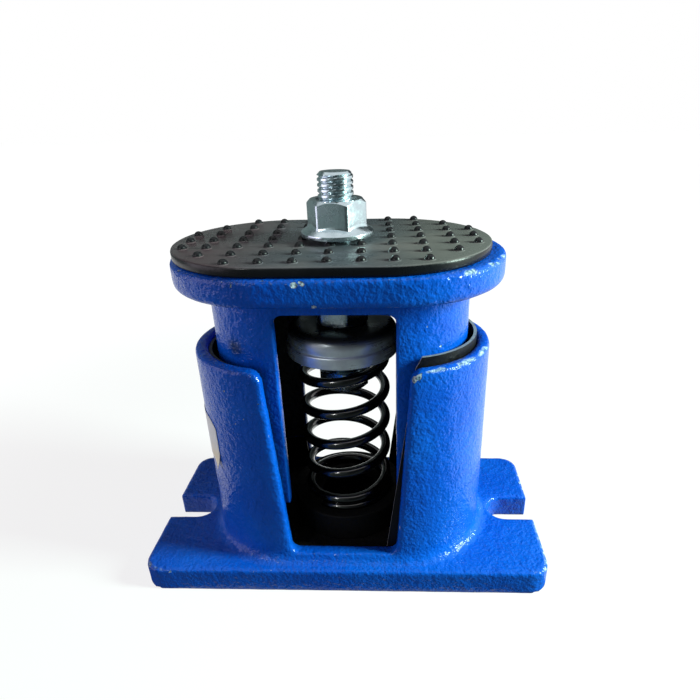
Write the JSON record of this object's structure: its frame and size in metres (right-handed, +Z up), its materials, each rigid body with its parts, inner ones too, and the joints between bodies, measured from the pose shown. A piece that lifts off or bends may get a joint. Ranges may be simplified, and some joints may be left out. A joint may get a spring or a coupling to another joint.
{
  "type": "spring vibration isolator",
  "caption": "Housed spring vibration isolator: a cast bell with a studded rubber pad rides on a coil spring inside a cast housing with a slotted foot.",
  "frame": {"origin": "on the ground, under the middle of the foot plate and the bolt", "axes": "+X along the foot plate towards the taller liner, +Y to the rear window, +Z up along the bolt"},
  "size_m": [0.155, 0.075, 0.1487],
  "materials": {
    "blue_paint": "gloss blue paint over a sand casting, with chips and worn edges",
    "pad_rubber": "moulded, satin",
    "seat_rubber": "moulded, matt",
    "liner_rubber": "sheet, satin",
    "zinc": "bright zinc plating",
    "cap_steel": "pressed sheet, dull plating",
    "spring_black": "gloss black coating"
  },
  "bodies": {
    "base": {"lower_housing": "blue_paint", "spring_seat": "seat_rubber", "liner_left": "liner_rubber", "liner_right": "liner_rubber", "spring": "spring_black"},
    "top": {"upper_housing": "blue_paint", "top_pad": "pad_rubber", "flange_nut": "zinc", "hex_bolt": "zinc", "levelling_nut": "zinc", "spring_cap": "cap_steel"}
  },
  "joints": [
    {"name": "spring_travel", "type": "slide", "parent": "base", "child": "top", "axis": [0, 0, 1], "range_m": [-0.018, 0], "stiffness_N_per_m": 14000, "springref_m": 0.001, "deforming": ["spring"]}
  ]
}
